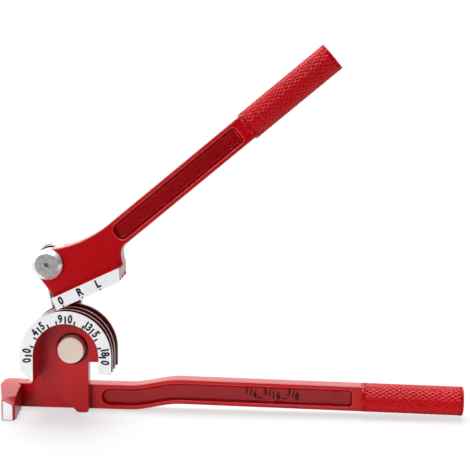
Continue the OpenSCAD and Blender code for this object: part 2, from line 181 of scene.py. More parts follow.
def roundEdges(piece, width, segments=3, angle=35):
    only(piece)
    modifier = piece.modifiers.new("round", "BEVEL")
    modifier.width = width
    modifier.segments = segments
    modifier.limit_method = "ANGLE"
    modifier.angle_limit = radians(angle)
    modifier.use_clamp_overlap = False
    bpy.ops.object.modifier_apply(modifier="round")


def smooth(piece, angle=40, weighted=True):
    only(piece)
    bpy.ops.object.shade_smooth_by_angle(angle=radians(angle))
    if weighted:
        modifier = piece.modifiers.new("evenNormals", "WEIGHTED_NORMAL")
        modifier.keep_sharp = True
        bpy.ops.object.modifier_apply(modifier="evenNormals")


def paint(piece, *finishes):
    for made in finishes:
        piece.data.materials.append(made)


def settle(piece, body, finishes, standsFor=(), onLever=False):
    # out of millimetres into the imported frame; the lever's pieces are modelled with the shoe level
    only(piece)
    x, y, z = layout["shift"]
    if onLever:
        piece.rotation_euler = (0, -radians(layout["shoeTurn"]), 0)
        x, z = x + layout["pin"][0], z + layout["pin"][1]
    else:
        z += layout["axisZ"]
    piece.location = (x / 1000, y / 1000, z / 1000)
    piece.scale = (0.001, 0.001, 0.001)
    bpy.ops.object.transform_apply(location=True, rotation=True, scale=True)
    piece.data.name = piece.name
    paint(piece, *finishes)
    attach(piece, body)
    if standsFor:
        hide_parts(*standsFor)


def offAxis(point):
    # distance from the axis that runs along Y
    return (point.x ** 2 + point.z ** 2) ** 0.5


def onCircle(radius, angles):
    return [(radius * cos(radians(a)), radius * sin(radians(a))) for a in angles]


def rounded(corners, steps=6):
    # an outline from corners (x, z, radius)
    outline = []
    count = len(corners)
    for i, (x, z, radius) in enumerate(corners):
        if radius <= 0:
            outline.append((x, z))
            continue
        (ax, az), (bx, bz) = corners[i - 1][:2], corners[(i + 1) % count][:2]
        la, lb = ((ax - x) ** 2 + (az - z) ** 2) ** 0.5, ((bx - x) ** 2 + (bz - z) ** 2) ** 0.5
        ua, ub = ((ax - x) / la, (az - z) / la), ((bx - x) / lb, (bz - z) / lb)
        turn = atan2(ua[0] * ub[1] - ua[1] * ub[0], ua[0] * ub[0] + ua[1] * ub[1])
        reach = radius / abs(tan(turn / 2))
        start, end = (x + ua[0] * reach, z + ua[1] * reach), (x + ub[0] * reach, z + ub[1] * reach)
        half = ((ua[0] + ub[0]) / 2, (ua[1] + ub[1]) / 2)
        size = (half[0] ** 2 + half[1] ** 2) ** 0.5
        depth = radius / abs(sin(turn / 2))
        cx, cz = x + half[0] / size * depth, z + half[1] / size * depth
        a0, a1 = atan2(start[1] - cz, start[0] - cx), atan2(end[1] - cz, end[0] - cx)
        sweep = (a1 - a0 + pi) % (2 * pi) - pi
        for k in range(steps + 1):
            angle = a0 + sweep * k / steps
            outline.append((cx + radius * cos(angle), cz + radius * sin(angle)))
    return outline


def markText(words, size, width, weight, depth=layout["inkHeight"]):
    bpy.ops.object.select_all(action="DESELECT")
    bpy.ops.object.text_add(location=(0, 0, 0))
    made = bpy.context.object
    made.data.body, made.data.size = words, size
    made.data.align_x, made.data.align_y = "CENTER", "CENTER"
    made.data.offset, made.data.extrude = weight, depth / 2
    made.data.resolution_u = layout["letterSteps"]
    bpy.ops.object.convert(target="MESH")
    made = bpy.context.object
    editAll(made)
    bpy.ops.mesh.remove_doubles(threshold=layout["weld"])
    bpy.ops.mesh.normals_make_consistent(inside=False)
    bpy.ops.object.mode_set(mode="OBJECT")
    made.scale = (width, 1, 1)
    bpy.ops.object.transform_apply(location=False, rotation=False, scale=True)
    return made


def setFlat(made, x, z, turn, yMid):
    # stands a flat mark up to face the viewer, turned about its own middle
    setPlace(made, (90, 0, 0))
    setPlace(made, (0, -turn, 0), (x, yMid, z))
    return made


# materials; the sizes of patterns are in millimetres

def newMaterial(name):
    material = bpy.data.materials.new(name)
    material.use_nodes = True
    tree = material.node_tree
    return material, tree, tree.nodes["Principled BSDF"], addNode(tree, "ShaderNodeTexCoord").outputs["Object"]


def redEnamelFinish(name, red, deep, roughness=0.2, shine=0.5):
    # glossy enamel on a zinc die casting: deep red with a clear gloss and the slight orange peel of spraying
    look = {"cloudSize": 28, "gritSize": 0.35, "peelSize": 1.6, "peelHeight": 0.06, "peelStrength": 0.12, "ior": 1.4}
    material, tree, shader, place = newMaterial(name)
    cloud = addNode(tree, "ShaderNodeTexNoise",
                    {"Vector": place, "Scale": 1000 / look["cloudSize"], "Detail": 3.0})
    tint = addNode(tree, "ShaderNodeMix",
                   {"Factor": cloud.outputs["Fac"], "A": hexColour(deep), "B": hexColour(red)}, data_type="RGBA")
    tree.links.new(tint.outputs["Result"], shader.inputs["Base Color"])
    grit = addNode(tree, "ShaderNodeTexNoise",
                   {"Vector": place, "Scale": 1000 / look["gritSize"], "Detail": 2.0})
    gloss = addNode(tree, "ShaderNodeMapRange",
                    {"Value": grit.outputs["Fac"], "From Min": 0.3, "From Max": 0.7,
                     "To Min": roughness - 0.05, "To Max": roughness + 0.06})
    tree.links.new(gloss.outputs["Result"], shader.inputs["Roughness"])
    peel = addNode(tree, "ShaderNodeTexNoise",
                   {"Vector": place, "Scale": 1000 / look["peelSize"], "Detail": 1.0})
    bump = addNode(tree, "ShaderNodeBump",
                   {"Height": peel.outputs["Fac"], "Strength": look["peelStrength"],
                    "Distance": look["peelHeight"] / 1000})
    tree.links.new(bump.outputs["Normal"], shader.inputs["Normal"])
    shader.inputs["IOR"].default_value = look["ior"]
    shader.inputs["Specular IOR Level"].default_value = shine
    return material


def whiteEnamelFinish():
    # white stoving enamel on the printed faces: satin, a little uneven
    look = {"white": "#efeff0", "shade": "#e2e3e6", "grainSize": 1.1, "grainHeight": 0.05, "grainStrength": 0.1,
            "roughness": 0.45}
    material, tree, shader, place = newMaterial("whiteEnamel")
    grain = addNode(tree, "ShaderNodeTexNoise",
                    {"Vector": place, "Scale": 1000 / look["grainSize"], "Detail": 3.0})
    tint = addNode(tree, "ShaderNodeMix",
                   {"Factor": grain.outputs["Fac"], "A": hexColour(look["shade"]), "B": hexColour(look["white"])},
                   data_type="RGBA")
    tree.links.new(tint.outputs["Result"], shader.inputs["Base Color"])
    bump = addNode(tree, "ShaderNodeBump",
                   {"Height": grain.outputs["Fac"], "Strength": look["grainStrength"],
                    "Distance": look["grainHeight"] / 1000})
    tree.links.new(bump.outputs["Normal"], shader.inputs["Normal"])
    shader.inputs["Roughness"].default_value = look["roughness"]
    return material


def inkFinish():
    # black printing ink, matt and not quite even
    look = {"black": "#070506", "faded": "#1b1516", "speckSize": 0.8, "roughness": 0.6}
    material, tree, shader, place = newMaterial("blackInk")
    speck = addNode(tree, "ShaderNodeTexNoise",
                    {"Vector": place, "Scale": 1000 / look["speckSize"], "Detail": 2.0})
    tint = addNode(tree, "ShaderNodeMix",
                   {"Factor": speck.outputs["Fac"], "A": hexColour(look["black"]), "B": hexColour(look["faded"])},
                   data_type="RGBA")
    tree.links.new(tint.outputs["Result"], shader.inputs["Base Color"])
    shader.inputs["Roughness"].default_value = look["roughness"]
    return material


def metalFinish(name, pale, dark, roughness, grainSize, grainHeight, bare=1.0):
    # bare or plated metal: tone and gloss vary with the grain that its making left
    material, tree, shader, place = newMaterial(name)
    grain = addNode(tree, "ShaderNodeTexNoise", {"Vector": place, "Scale": 1000 / grainSize, "Detail": 4.0})
    tint = addNode(tree, "ShaderNodeMix",
                   {"Factor": grain.outputs["Fac"], "A": hexColour(dark), "B": hexColour(pale)}, data_type="RGBA")
    tree.links.new(tint.outputs["Result"], shader.inputs["Base Color"])
    gloss = addNode(tree, "ShaderNodeMapRange",
                    {"Value": grain.outputs["Fac"], "From Min": 0.3, "From Max": 0.7,
                     "To Min": roughness * 0.8, "To Max": roughness * 1.25})
    tree.links.new(gloss.outputs["Result"], shader.inputs["Roughness"])
    bump = addNode(tree, "ShaderNodeBump",
                   {"Height": grain.outputs["Fac"], "Strength": 0.15, "Distance": grainHeight / 1000})
    tree.links.new(bump.outputs["Normal"], shader.inputs["Normal"])
    shader.inputs["Metallic"].default_value = bare
    return material


redEnamel = redEnamelFinish("redEnamel", "#b8030e", "#aa020b")
# painted shade: a darker red in the wheel's grooves, the pin's seat and the gap behind the lever's head
paintedDeepShade = redEnamelFinish("paintedDeepShade", "#6a0209", "#540107")
# paint on the knurl, dulled by hands
gripEnamel = redEnamelFinish("gripEnamel", "#c0030f", "#b2020c", 0.32, 0.24)
# painted shade: near-black red in the sunk size marks
paintedMarkShade = redEnamelFinish("paintedMarkShade", "#360206", "#280104", 0.4, 0.2)
# painted highlight: a paler red along a pocket's rounded rim
paintedRimHighlight = redEnamelFinish("paintedRimHighlight", "#d42c2c", "#c42022")
# painted shade: a darker red on the pockets' floors and sloped walls
paintedPocketShade = redEnamelFinish("paintedPocketShade", "#9a020b", "#8a0109")
whiteEnamel = whiteEnamelFinish()
blackInk = inkFinish()
# matt plated face of the centre pin
nickelPin = metalFinish("tumbledNickel", "#f3e7d8", "#e2d4c2", 0.62, 0.9, 0.04, 0.3)
# turned face of the lever pin, the washers and the dowels: pale, with grey rings of the tool
faceSteel = metalFinish("facedSteel", "#e6e5e3", "#7c7b79", 0.4, 1.6, 0.06, 0.6)
# polished link, a clear mirror
brightLink = metalFinish("brightNickel", "#cfd0d2", "#b2b3b6", 0.08, 6.0, 0.01)
# polished chamfer of the lever pin's head
polishedRim = metalFinish("polishedSteel", "#f4f4f5", "#e4e5e7", 0.2, 3.0, 0.01, 0.7)
# painted highlight: near-white on the middle ridges of the wheel
paintedRidgeHighlight = metalFinish("paintedRidgeHighlight", "#fff4ee", "#f4e6de", 0.3, 2.0, 0.01, 0.1)
# painted shade in the centre drill's hole: dark steel, with the drill's rough grain
paintedDrillShade = metalFinish("paintedDrillShade", "#8f8d8b", "#5d5b59", 0.5, 0.8, 0.06, 0.6)
# screws and rings, blackened and a little oily
blackSteel = metalFinish("blackOxideSteel", "#2b2b2d", "#1c1c1e", 0.42, 1.2, 0.03)
# bushes and thrust washers, pressed from powder and grainy
bronze = metalFinish("sinteredBronze", "#b98f52", "#94703c", 0.4, 0.5, 0.04)
print("materials made")


# camera, floor and light, in metres

def floorPlane(name, width, near, far, height):
    bpy.ops.object.select_all(action="DESELECT")
    bpy.ops.mesh.primitive_plane_add(size=1)
    made = bpy.context.object
    made.name = name
    for vertex in made.data.vertices:
        vertex.co = (vertex.co.x * width, far if vertex.co.y > 0 else near, height)
    return made


def lamp(name, place, aim, size, power):
    data = bpy.data.lights.new(name, "AREA")
    data.shape, data.size, data.energy = "SQUARE", size, power
    made = bpy.data.objects.new(name, data)
    made.location = place
    made.rotation_euler = (Vector(aim) - Vector(place)).to_track_quat("-Z", "Y").to_euler()
    bpy.context.collection.objects.link(made)
    return made


def setCamera():
    view = {"place": (0.15381, -0.86699, 0.24238), "turn": (82.1216, -0.7122, 3.5380), "lens": 101.872,
            "sensor": 36.0, "nearest": 0.01}
    camera = bpy.data.cameras.new("photoCamera")
    camera.lens, camera.sensor_width, camera.clip_start = view["lens"], view["sensor"], view["nearest"]
    holder = bpy.data.objects.new("photoCamera", camera)
    holder.location = view["place"]
    holder.rotation_euler = [radians(a) for a in view["turn"]]
    bpy.context.collection.objects.link(holder)
    bpy.context.scene.camera = holder
    bpy.context.scene.view_settings.view_transform = "Standard"


def setFloor():
    # the white table ends in front of the object, so front faces mirror a darker room;
    # only the camera sees it go on
    table = {"width": 6, "height": -0.00005, "front": -3.0, "edge": -0.36, "back": 2.6,
             "colour": "#e8e8ea", "roughness": 0.5,
             "middle": (0.1, -0.14, 0.0), "fadeFrom": 0.17, "fadeTo": 0.42, "leastWhite": 0.6}
    front = floorPlane("floorFront", table["width"], table["front"], table["edge"], table["height"])
    front.visible_diffuse = front.visible_glossy = front.visible_transmission = front.visible_shadow = False
    material, tree = newMaterial("whiteFloor")[:2]
    white = addNode(tree, "ShaderNodeEmission", {"Color": (1, 1, 1, 1), "Strength": 1.0})
    tree.links.new(white.outputs[0], tree.nodes["Material Output"].inputs["Surface"])
    paint(front, material)

    # round the object the floor keeps its shadow, and further out it fades to white
    floor = floorPlane("studioFloor", table["width"], table["edge"], table["back"], table["height"])
    material, tree, shader, place = newMaterial("paleFloor")
    shader.inputs["Base Color"].default_value = hexColour(table["colour"])
    shader.inputs["Roughness"].default_value = table["roughness"]
    far = addNode(tree, "ShaderNodeVectorMath", {0: place, 1: table["middle"]}, operation="DISTANCE")
    fade = addNode(tree, "ShaderNodeMapRange",
                   {"Value": far.outputs["Value"], "From Min": table["fadeFrom"], "From Max": table["fadeTo"],
                    "To Min": table["leastWhite"]}, interpolation_type="SMOOTHSTEP")
    white = addNode(tree, "ShaderNodeEmission", {"Color": (1, 1, 1, 1), "Strength": 1.0})
    paths = addNode(tree, "ShaderNodeLightPath")
    shown = addNode(tree, "ShaderNodeMath",
                    {0: paths.outputs["Is Camera Ray"], 1: paths.outputs["Is Glossy Ray"]}, operation="MAXIMUM")
    amount = addNode(tree, "ShaderNodeMath",
                     {0: shown.outputs[0], 1: fade.outputs["Result"]}, operation="MULTIPLY")
    both = addNode(tree, "ShaderNodeMixShader",
                   {0: amount.outputs[0], 1: shader.outputs[0], 2: white.outputs[0]})
    tree.links.new(both.outputs[0], tree.nodes["Material Output"].inputs["Surface"])
    paint(floor, material)


def setWorld():
    # white behind and above the object, and dark on the camera's side and the right
    room = {"brightSide": (-0.25, 1.0, 0.5), "darkAt": -0.35, "brightAt": 0.45, "darkest": 0.04,
            "fill": 0.35, "mirrored": 1.35}
    world = bpy.data.worlds.new("studio")
    bpy.context.scene.world = world
    world.use_nodes = True
    tree = world.node_tree
    back = tree.nodes["Background"]
    paths = addNode(tree, "ShaderNodeLightPath")
    around = addNode(tree, "ShaderNodeTexCoord").outputs["Generated"]
    way = addNode(tree, "ShaderNodeVectorMath", {0: around, 1: room["brightSide"]}, operation="DOT_PRODUCT")
    wall = addNode(tree, "ShaderNodeMapRange",
                   {"Value": way.outputs["Value"], "From Min": room["darkAt"], "From Max": room["brightAt"],
                    "To Min": room["darkest"], "To Max": 1.0}, interpolation_type="SMOOTHSTEP")
    shown = addNode(tree, "ShaderNodeMath",
                    {0: paths.outputs["Is Transmission Ray"], 1: paths.outputs["Is Glossy Ray"]},
                    operation="MAXIMUM")
    level = addNode(tree, "ShaderNodeMapRange",
                    {"Value": shown.outputs[0], "To Min": room["fill"], "To Max": room["mirrored"]})
    light = addNode(tree, "ShaderNodeMath",
                    {0: wall.outputs["Result"], 1: level.outputs["Result"]}, operation="MULTIPLY")
    seen = addNode(tree, "ShaderNodeMath",
                   {0: light.outputs[0], 1: paths.outputs["Is Camera Ray"]}, operation="MAXIMUM")
    tree.links.new(seen.outputs[0], back.inputs["Strength"])
    back.inputs["Color"].default_value = (1, 1, 1, 1)


def setLamps():
    key = lamp("keySoftbox", (-0.35, -1.1, 0.34), (0.05, 0, 0.1), 0.6, 9.0)
    key.visible_glossy = False  # the paint shows no mirror image of it
    long = lamp("rimSoftbox", (-0.35, -0.3, 1.15), (-0.35, 0.0, 0.12), 1.7, 22)
    long.data.shape, long.data.size_y = "RECTANGLE", 0.5
    long.visible_diffuse = False  # seen only as the bright line along rounded edges
    lamp("topSoftbox", (0.05, 0.32, 0.95), (0.1, 0.0, 0.05), 0.9, 14.5)


setCamera()
setFloor()
setWorld()
setLamps()
print("stage set")


# CAD nodes that keep their shape

keptFinish = {
    "wheel_screws": blackSteel, "wheel_dowels": faceSteel, "pivot_washer": bronze, "pivot_rear_washer": faceSteel,
    "pivot_ring": blackSteel, "pivot_bush": bronze, "lever_front_washer": faceSteel, "lever_rear_washer": bronze,
    "lever_ring": blackSteel, "lever_bush": bronze, "shoe_screws": blackSteel,
}
for name in nodes:
    cadObject = bpy.data.objects[name]
    cadObject.data.materials.clear()
    paint(cadObject, keptFinish.get(name, redEnamel))


# forming wheel: the grooved rim is spun, its straight runs are pulled down, and the web and leg are set in

rim = {"radius": 30.0, "inside": 21.6, "leftRun": 9.8, "rightRun": 11.4}  # the dial has the same outline
wheel = {
    "turnSteps": 72, "innerEdge": 0.5, "frontEdge": (0.3, 0.2), "backEdge": 0.6, "edge": 0.2,
    "crest": 0.14, "crestDrop": 0.12, "ridgeRound": 0.4, "ridgeRise": 0.2,  # how the ridges are rounded, and where their painted highlight reaches
    "shadeDepths": (0.9, 1.0), "shadeWall": 2.0, "highlightDepths": (7, 19),        # depths with painted shade and with painted highlight
}
web = {
    "front": 24.52, "back": 33.02, "seat": 10.4, "seatFloor": 26.52, "edge": 0.5,
    "intoRim": 1.0, "arc": (-24, 185, 4),
    "legTop": [(10.8, -9.2, 1.0)],
    "legFoot": [(-22.6, -19.4, 0), (-21.2, -19.4, 0), (3.4, -44, 2.5), (10.8, -44, 2.0)],
}


def rimSection():
    # radius and depth round the rim's cut face, with a groove for each tube
    front, back, outer, inside = layout["castFront"], layout["wheelBack"], rim["radius"], rim["inside"]
    crest, soft, steps = wheel["crest"], wheel["innerEdge"], layout["grooveSteps"]
    section = [(inside + soft, front), (outer - wheel["frontEdge"][0], front), (outer, front + wheel["frontEdge"][1])]
    for depth, radius in layout["grooves"]:
        first = depth - radius
        section += [(outer, first - crest), (outer - wheel["crestDrop"], first - crest * 0.35)]
        section += [(outer - radius * sin(pi * k / steps), depth - radius * cos(pi * k / steps))
                    for k in range(1, steps)]
        section += [(outer - wheel["ridgeRound"], depth + radius - 0.02), (outer, depth + radius + wheel["ridgeRise"])]
    section += [(outer, back - wheel["backEdge"]), (outer - wheel["backEdge"], back), (inside + soft, back),
                (inside, back - soft), (inside, front + soft)]
    return section


def makeWeb():
    arc = onCircle(rim["inside"] + web["intoRim"], range(*web["arc"]))
    outline = rounded(web["legTop"] + [(x, z, 0) for x, z in arc] + web["legFoot"])
    piece = slab("web", outline, web["front"], web["back"])
    carve(piece, rod("seat", web["seat"], 10, web["seatFloor"]))
    roundEdges(piece, web["edge"])
    paint(piece, redEnamel, paintedDeepShade)
    for face in piece.data.polygons:  # painted shade in the pin's seat
        sunk = web["front"] + 0.1 < face.center.y < web["seatFloor"] + 0.1
        face.material_index = int(sunk and offAxis(face.center) < web["seat"] + 0.1)
    return piece


def makeWheel():
    back, outer, touch = layout["wheelBack"], rim["radius"], layout["touch"]
    piece = ringOf("formingWheel", [(r, y, 0) for r, y in rimSection()])
    editAll(piece)
    bpy.ops.mesh.delete(type="ONLY_FACE")
    bpy.ops.mesh.select_all(action="SELECT")
    bpy.ops.mesh.spin(steps=wheel["turnSteps"], angle=pi, center=(0, 0, 0), axis=(0, -1, 0))
    bpy.ops.mesh.select_all(action="SELECT")
    bpy.ops.mesh.remove_doubles(threshold=layout["weld"])
    bpy.ops.object.mode_set(mode="OBJECT")
    if min(v.co.z for v in piece.data.vertices) < -1:  # spun the other way
        for vertex in piece.data.vertices:
            vertex.co.z = -vertex.co.z
    for side, run in ((1, rim["rightRun"]), (-1, rim["leftRun"])):
        pickEdges(piece, lambda a, b: abs(a.z) < touch and abs(b.z) < touch and a.x * side > 0 and b.x * side > 0)
        bpy.ops.mesh.extrude_region_move(TRANSFORM_OT_translate={"value": (0, 0, -run)})
        bpy.ops.mesh.edge_face_add()
        bpy.ops.object.mode_set(mode="OBJECT")
    for vertex in piece.data.vertices:  # the left run ends in a slant
        if vertex.co.z < -1 and vertex.co.x < 0:
            vertex.co.z = -rim["leftRun"] - (outer + vertex.co.x)
    editAll(piece)
    doneEditing()
    roundEdges(piece, wheel["edge"], 2, 50)
    paint(piece, redEnamel, paintedDeepShade, paintedRidgeHighlight)
    for face in piece.data.polygons:  # painted shade in the grooves, and a painted highlight on the middle ridges
        x, y, z = face.center
        off = offAxis(face.center) if z > 0 else abs(x)
        if rim["inside"] + wheel["shadeWall"] < off and wheel["shadeDepths"][0] < y < back - wheel["shadeDepths"][1]:
            isRidge = off > outer - wheel["ridgeRound"] and face.normal.y < -0.3
            face.material_index = 2 if isRidge and wheel["highlightDepths"][0] < y < wheel["highlightDepths"][1] else 1
    joinTo(piece, [makeWeb()])
    smooth(piece)
    settle(piece, "base", [], ["forming_wheel"])


makeWheel()
print("wheel modelled")


# pockets, grip ends and casting marks, on both bars

pocket = {
    "half": 5.5, "depth": 3.6, "outside": 2.0, "slopeIn": 1.3, "slopeDeep": 3.3, "floorRound": 0.5,
    "wallNormal": (0.2, 0.6), "wallDepth": (0.5, 3.4),                   # finds the sloped walls
    "rimAcross": 6.9, "rimNormal": (-0.97, -0.45), "rimDepth": 1.1,      # finds the rounded rim
}
ejector = {"radius": 2.8, "thickness": 0.38}
sleeveMouth = {"radius": 9.83, "length": 12}


def pocketSpace(outline, yOut, yFloor):
    # what a pocket takes away; its walls slope as a die's do, and its floor meets them in a small round
    touch = layout["touch"]
    start = yFloor - pocket["slopeDeep"] if yFloor > yOut else yFloor + pocket["slopeDeep"]
    tool = slab("pocket", outline, min(yOut, start), max(yOut, start))
    pickFaces(tool, lambda c, n: abs(c.y - start) < touch)
    bpy.ops.mesh.inset(thickness=pocket["slopeIn"], depth=pocket["slopeDeep"])
    bpy.ops.object.mode_set(mode="OBJECT")
    pickEdges(tool, lambda a, b: abs(a.y - yFloor) < touch and abs(b.y - yFloor) < touch)
    bpy.ops.mesh.bevel(offset=pocket["floorRound"], segments=3, affect="EDGES")
    doneEditing()
    return tool


def sinkPockets(piece, outline, front, back):
    carve(piece, pocketSpace(outline, front - pocket["outside"], front + pocket["depth"]))
    carve(piece, pocketSpace(outline, back + pocket["outside"], back - pocket["depth"]))


def sleeveSpace(mouth, lean):
    # what a grip's sleeve takes out of the end of its bar, so that only the corners run on over it
    tool = rod("sleeveSpace", sleeveMouth["radius"], 0, sleeveMouth["length"])
    setPlace(tool, (0, 0, -90))
    setPlace(tool, (0, -lean, 0), mouth)
    return tool


def inPocketShade(face, front, back):
    # true on the front pocket's floor and on the sloped walls, where shade is painted
    y, n = face.center.y, abs(face.normal.y)
    (least, most), (low, high) = pocket["wallNormal"], pocket["wallDepth"]
    onWall = least < n < most and (front + low < y < front + high or back - high < y < back - low)
    return onWall or abs(y - front - pocket["depth"]) < 0.05


def onRim(face, across, front):
    # true on the rounded rim of a front pocket, across being the distance from the bar's middle line
    least, most = pocket["rimNormal"]
    nearEdge = across < pocket["rimAcross"] and face.center.y < front + pocket["rimDepth"]
    return nearEdge and least < face.normal.y < most


def ejectorRing(at):
    # the ring that an ejector of the die leaves on a pocket's floor
    bpy.ops.object.select_all(action="DESELECT")
    bpy.ops.mesh.primitive_torus_add(major_radius=ejector["radius"], minor_radius=ejector["thickness"],
                                     major_segments=48, minor_segments=8, location=at, rotation=(radians(90), 0, 0))
    piece = bpy.context.object
    bpy.ops.object.transform_apply(location=True, rotation=True, scale=True)
    smooth(piece, 60, False)
    return piece


# lower handle: bar with its step, pockets, arm and stepped hook; heights are above the floor

bar = {
    "front": 33.02, "back": 45.52, "middle": 39.27, "half": 8.5, "low": 9.0,
    "end": 193.5, "tips": 3.2, "gripAt": 194.5,
    "stepFrom": 37.0, "stepTo": 72.0, "step": 4.8, "stepCuts": 20, "fall": 0.75, "edge": 0.9,
    "armLow": 0.5, "shoulder": ((0, 17.5), (-20.3, 25), (-22, 25), (-29.8, 17.2), (-42.0, 17.2)),
    # paintedLightFrom: where the pockets' painted shade and highlight begin
    "pocketFrom": 23.8, "pocketTo": 187.5, "pocketCuts": 60, "pocketCorner": 2.4, "paintedLightFrom": 15,
    "screws": ((-3.5, 12.6), (5.5, 5.6)), "screwSeat": 3.8, "screwFloor": 41.12, "ejector": (176.75, 14.07),
}
hook = {
    "height": 17.4, "fall": 4.2, "slopeAt": (-42.18, 13.7), "slopeTurn": (40, 20), "edge": 0.5,
    "plan": ((-35.2, 0), (-33.98, 1.2), (-33.98, 8.05), (-34.77, 8.85), (-34.77, 17.4), (-35.57, 18.2),
             (-35.57, 27.6), (-38.96, 33.02), (-38.96, 44.92), (-47.28, 44.92), (-49.97, 41.52),
             (-49.97, 29.02), (-42.18, 0)),  # X and depth, with a step for each tube
}
sizes = {
    "depth": 0.5, "size": 6.9, "width": 0.78, "weight": 0.24, "lean": -0.75, "span": (115, 155),
    "places": ((116.7, 15.3, "1"), (119.6, 14.2, "/"), (122.0, 12.4, "4"), (125.6, 11.1, "\u2013"),
               (129.1, 15.0, "5"), (132.2, 13.9, "/"), (134.7, 12.1, "1"), (138.0, 12.1, "6"),
               (142.0, 10.8, "\u2013"), (145.0, 14.8, "3"), (148.2, 13.7, "/"), (150.6, 11.9, "8")),
}


def barMid(x):
    if x <= bar["stepFrom"]:
        return bar["low"]
    if x >= bar["stepTo"]:
        return bar["low"] + bar["step"] - (x - bar["stepTo"]) * tan(radians(bar["fall"]))
    return bar["low"] + bar["step"] * (1 - cos(pi * (x - bar["stepFrom"]) / (bar["stepTo"] - bar["stepFrom"]))) / 2


def sizeMarks(floorY):
    # tube sizes sunk into the pocket's floor, read from left to right
    made = []
    for x, z, letter in sizes["places"]:
        word = markText(letter, sizes["size"], sizes["width"], sizes["weight"], sizes["depth"])
        made.append(setFlat(word, x, z - layout["axisZ"], sizes["lean"], floorY))
    joinTo(made[0], made[1:])
    return made[0]


def makeHook(floorZ):
    piece = ringOf("hook", [(x, y, floorZ) for x, y in hook["plan"]])
    editAll(piece)
    bpy.ops.mesh.extrude_region_move(TRANSFORM_OT_translate={"value": (0, 0, hook["height"])})
    bpy.ops.mesh.select_all(action="SELECT")
    bpy.ops.mesh.normals_make_consistent(inside=False)
    fall = radians(hook["fall"])
    bpy.ops.mesh.bisect(plane_co=(0, bar["front"], hook["height"] + floorZ), plane_no=(0, -sin(fall), cos(fall)),
                        use_fill=True, clear_outer=True)
    bpy.ops.mesh.select_all(action="SELECT")
    a, b = [radians(t) for t in hook["slopeTurn"]]
    bpy.ops.mesh.bisect(plane_co=(hook["slopeAt"][0], 0, hook["slopeAt"][1] + floorZ),
                        plane_no=(sin(b), -cos(b) * sin(a), cos(b) * cos(a)), use_fill=True, clear_outer=True)
    doneEditing()
    roundEdges(piece, hook["edge"])
    return piece


def barPocket(floorZ):
    # along the bar's lower side, round the right end, back along the upper side and round the left end
    first, last, half = bar["pocketFrom"], bar["pocketTo"], pocket["half"]
    xs = [first + (last - first) * k / bar["pocketCuts"] for k in range(bar["pocketCuts"] + 1)]
    low, high = barMid(last) - half + floorZ, barMid(last) + half + floorZ
    corner = bar["pocketCorner"]
    outline = [(x, barMid(x) - half + floorZ) for x in xs[:-1]]
    outline += rounded([(last - 8, low, 0), (last, low, corner), (last, high, corner), (last - 8, high, 0)])[1:-1]
    outline += [(x, barMid(x) + half + floorZ) for x in xs[-2::-1]]
    outline += [(first - half * sin(pi * k / 12), bar["low"] + floorZ + half * cos(pi * k / 12))
                for k in range(1, 12)]
    return outline


def makeLowerHandle():
    floorZ = -layout["axisZ"]
    floorY = bar["front"] + pocket["depth"]
    run = bar["stepTo"] - bar["stepFrom"]
    steps = [bar["stepFrom"] + run * k / bar["stepCuts"] for k in range(bar["stepCuts"] + 1)]
    end = bar["end"] + bar["tips"]
    lower = [(x, barMid(x) - bar["half"] + floorZ) for x in steps + [end]]
    upper = [(x, barMid(x) + bar["half"] + floorZ) for x in [end] + steps[::-1]]
    shoulder = [(x, z + floorZ) for x, z in bar["shoulder"]]
    outline = [(shoulder[-1][0], bar["armLow"] + floorZ)] + lower + upper + shoulder
    piece = slab("lowerHandle", outline, bar["front"], bar["back"])
    sinkPockets(piece, barPocket(floorZ), bar["front"], bar["back"])
    roundEdges(piece, bar["edge"])
    for x, z in bar["screws"]:
        carve(piece, rod("screwSeat", bar["screwSeat"], bar["screwFloor"], 50, (x, z + floorZ), 48))
    carve(piece, sleeveSpace((bar["end"], bar["middle"], barMid(bar["gripAt"]) + floorZ), -bar["fall"]))
    carve(piece, makeHook(floorZ), "UNION")
    carve(piece, sizeMarks(floorY), crossing=True)
    smooth(piece)
    paint(piece, redEnamel, whiteEnamel, paintedMarkShade, paintedPocketShade, paintedRimHighlight)
    for face in piece.data.polygons:  # the finger's front is printed white; painted shade darkens the marks and pockets, and a painted highlight lightens the pocket rim
        x, y, z = face.center
        printed = face.normal.y < -0.98 and y < 1
        inMark = sizes["span"][0] < x < sizes["span"][1] and floorY + 0.01 < y < floorY + 0.3
        rimHighlight = x > bar["paintedLightFrom"] and onRim(face, abs(z - barMid(x) - floorZ), bar["front"])
        pocketShade = x > bar["paintedLightFrom"] and inPocketShade(face, bar["front"], bar["back"])
        face.material_index = 1 if printed else 2 if inMark else 4 if rimHighlight else 3 if pocketShade else 0
    settle(piece, "base", [], ["lower_handle"])
    ring = ejectorRing((bar["ejector"][0], floorY, bar["ejector"][1] + floorZ))
    ring.name = "handleEjectorMark"
    settle(ring, "base", [redEnamel])


makeLowerHandle()
print("lower handle modelled")


# grips: a sleeve with a raised diamond knurl under the paint

knurl = {"around": 24, "along": 4.3, "grooveRadius": 9.35, "height": 0.43, "land": 0.08, "flank": 0.95, "crease": 25,
         "fromMouth": 1.5, "fromEnd": 0.9}
sleeve = {"mouth": -0.2, "coreStop": 0.6, "coreEdge": 0.1, "collarRadius": 9.6, "collarTo": 1.8, "collarEdge": 0.3,
          "endRadius": 9.72, "endLength": 1.3, "endEdge": 0.6}
lowerGrip = {"length": 67.95, "lean": -bar["fall"],
             "mouth": (bar["end"] + 0.2, bar["middle"], barMid(bar["gripAt"]) - layout["axisZ"])}
upperGrip = {"length": 70.95, "lean": 14.6, "mouth": (154.7, 15.5, 26.15)}  # from the lever pin, with the shoe level


